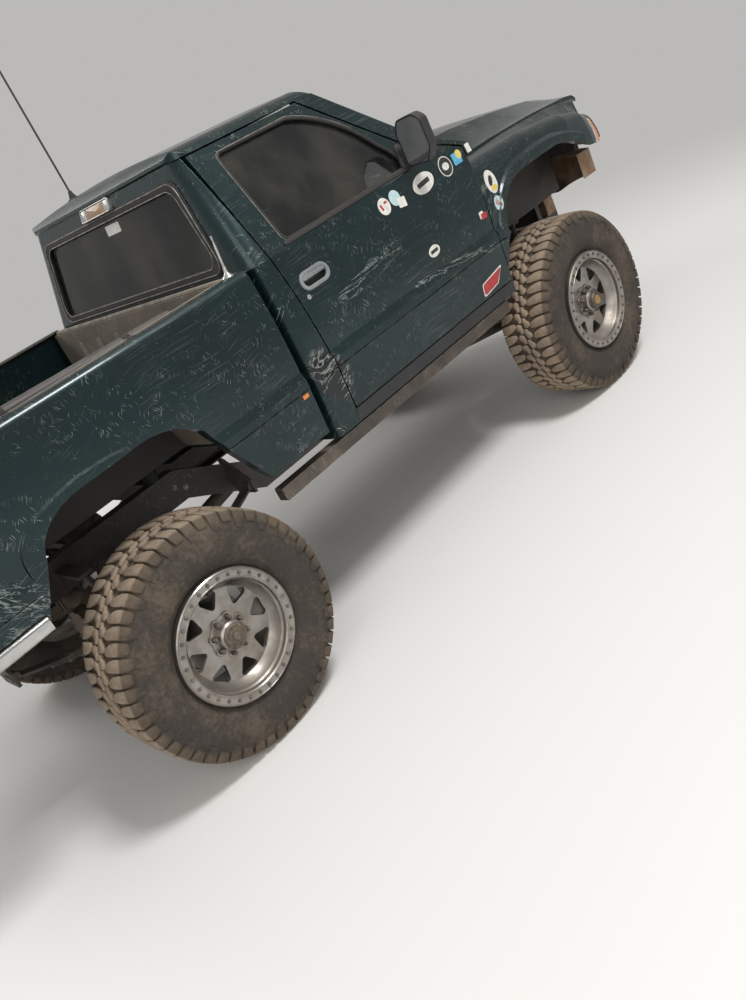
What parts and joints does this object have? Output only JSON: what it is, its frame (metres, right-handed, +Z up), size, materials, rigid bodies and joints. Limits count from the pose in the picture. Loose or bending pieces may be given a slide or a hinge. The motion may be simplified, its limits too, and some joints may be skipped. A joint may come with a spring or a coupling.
{
  "type": "lifted off-road pickup truck",
  "caption": "Regular-cab short-bed pickup, raised on solid axles, with beadlock wheels, mud-terrain tyres, rock sliders and opening doors, hood and tailgate.",
  "frame": {"origin": "on the floor, in the middle of the truck's length and width", "axes": "+X forward, +Y to the truck's left, +Z up"},
  "size_m": [5.0304, 2.3, 2.8893],
  "materials": {
    "paint": "dark green metallic, scratched and dusty",
    "glass": "tinted",
    "black_steel": "satin black, scraped",
    "cast_metal": "rough, dusty",
    "rusty_steel": "bare plate with rust and dust",
    "chrome": "scraped",
    "rubber": "matt",
    "black_plastic": "matt",
    "seat_cloth": "woven cloth",
    "lamp": "moulded lens",
    "tyre": "dusty rubber",
    "machined_alloy": "machined"
  },
  "bodies": {
    "chassis": {"antenna": "black_plastic", "bed_sides": "paint", "bed_tub": "paint", "body_mounts": "rubber", "cab_back": "paint", "cab_floor": "paint", "cab_glass": "glass", "cab_roof": "paint", "coil_springs": "black_steel", "control_arms": "black_steel", "dashboard": "black_plastic", "driveshafts": "black_steel", "engine_bay": "black_steel", "engine_block": "cast_metal", "exhaust": "rusty_steel", "front_axle": "cast_metal", "front_bumper": "rusty_steel", "front_fenders": "paint", "front_lamps": "lamp", "fuel_tank": "black_plastic", "gearbox": "cast_metal", "grille": "paint", "ladder_frame": "black_steel", "leaf_springs": "black_steel", "rear_axle": "cast_metal", "rear_bumper": "chrome", "rear_lamps": "lamp", "rock_sliders": "black_steel", "seat": "seat_cloth", "shock_absorbers": "black_steel", "steering_wheel": "black_plastic"},
    "hood": {"hood": "paint"},
    "tailgate": {"tailgate": "paint"},
    "knuckle_left": {"knuckle_left": "cast_metal"},
    "knuckle_right": {"knuckle_right": "cast_metal"},
    "tie_rod": {"tie_rod": "cast_metal"},
    "pitman_arm": {"pitman_arm": "cast_metal"},
    "drag_link": {"drag_link": "cast_metal"},
    "door_right": {"door_right": "paint", "door_glass_right": "glass", "mirror_right": "black_plastic"},
    "door_left": {"door_left": "paint", "door_glass_left": "glass", "mirror_left": "black_plastic"},
    "wheel_front_right": {"tyre_front_right": "tyre", "wheel_front_right": "machined_alloy"},
    "wheel_front_left": {"tyre_front_left": "tyre", "wheel_front_left": "machined_alloy"},
    "wheel_rear_right": {"tyre_rear_right": "tyre", "wheel_rear_right": "machined_alloy"},
    "wheel_rear_left": {"tyre_rear_left": "tyre", "wheel_rear_left": "machined_alloy"}
  },
  "joints": [
    {"name": "door_right_hinge", "type": "hinge", "parent": "chassis", "child": "door_right", "pos_m": [1.033, -0.96, 1.2], "axis": [0, 0, 1], "range_deg": [0, 62]},
    {"name": "door_left_hinge", "type": "hinge", "parent": "chassis", "child": "door_left", "pos_m": [1.033, 0.96, 1.2], "axis": [0, 0, -1], "range_deg": [0, 62]},
    {"name": "hood_hinge", "type": "hinge", "parent": "chassis", "child": "hood", "pos_m": [1.103, 0, 1.65], "axis": [0, -1, 0], "range_deg": [0, 50]},
    {"name": "tailgate_hinge", "type": "hinge", "parent": "chassis", "child": "tailgate", "pos_m": [-2.361, 0, 1.124], "axis": [0, -1, 0], "range_deg": [0, 90]},
    {"name": "steer_left", "type": "hinge", "parent": "chassis", "child": "knuckle_left", "pos_m": [1.615, 0.76, 0.5], "axis": [0, 0, 1], "range_deg": [-28, 28]},
    {"name": "steer_right", "type": "hinge", "parent": "chassis", "child": "knuckle_right", "pos_m": [1.615, -0.76, 0.5], "axis": [0, 0, 1], "range_deg": [-28, 28]},
    {"name": "tie_rod_end", "type": "hinge", "parent": "knuckle_left", "child": "tie_rod", "pos_m": [1.82, 0.76, 0.486], "axis": [0, 0, 1], "range_deg": [-28, 28]},
    {"name": "pitman_shaft", "type": "hinge", "parent": "chassis", "child": "pitman_arm", "pos_m": [1.745, 0.395, 0.62], "axis": [0, 0, 1], "range_deg": [-28, 28]},
    {"name": "drag_link_end", "type": "hinge", "parent": "pitman_arm", "child": "drag_link", "pos_m": [1.95, 0.395, 0.549], "axis": [0, 0, 1], "range_deg": [-28, 28]},
    {"name": "wheel_front_right_spin", "type": "hinge", "parent": "knuckle_right", "child": "wheel_front_right", "pos_m": [1.615, -0.9, 0.5], "axis": [0, 1, 0], "continuous": true},
    {"name": "wheel_rear_right_spin", "type": "hinge", "parent": "chassis", "child": "wheel_rear_right", "pos_m": [-1.285, -0.9, 0.5], "axis": [0, 1, 0], "continuous": true},
    {"name": "wheel_front_left_spin", "type": "hinge", "parent": "knuckle_left", "child": "wheel_front_left", "pos_m": [1.615, 0.9, 0.5], "axis": [0, 1, 0], "continuous": true},
    {"name": "wheel_rear_left_spin", "type": "hinge", "parent": "chassis", "child": "wheel_rear_left", "pos_m": [-1.285, 0.9, 0.5], "axis": [0, 1, 0], "continuous": true}
  ],
  "couplings": [
    {"joint": "steer_right", "follows": "steer_left", "ratio": 1},
    {"joint": "tie_rod_end", "follows": "steer_left", "ratio": -1},
    {"joint": "pitman_shaft", "follows": "steer_left", "ratio": 1},
    {"joint": "drag_link_end", "follows": "steer_left", "ratio": -1}
  ]
}
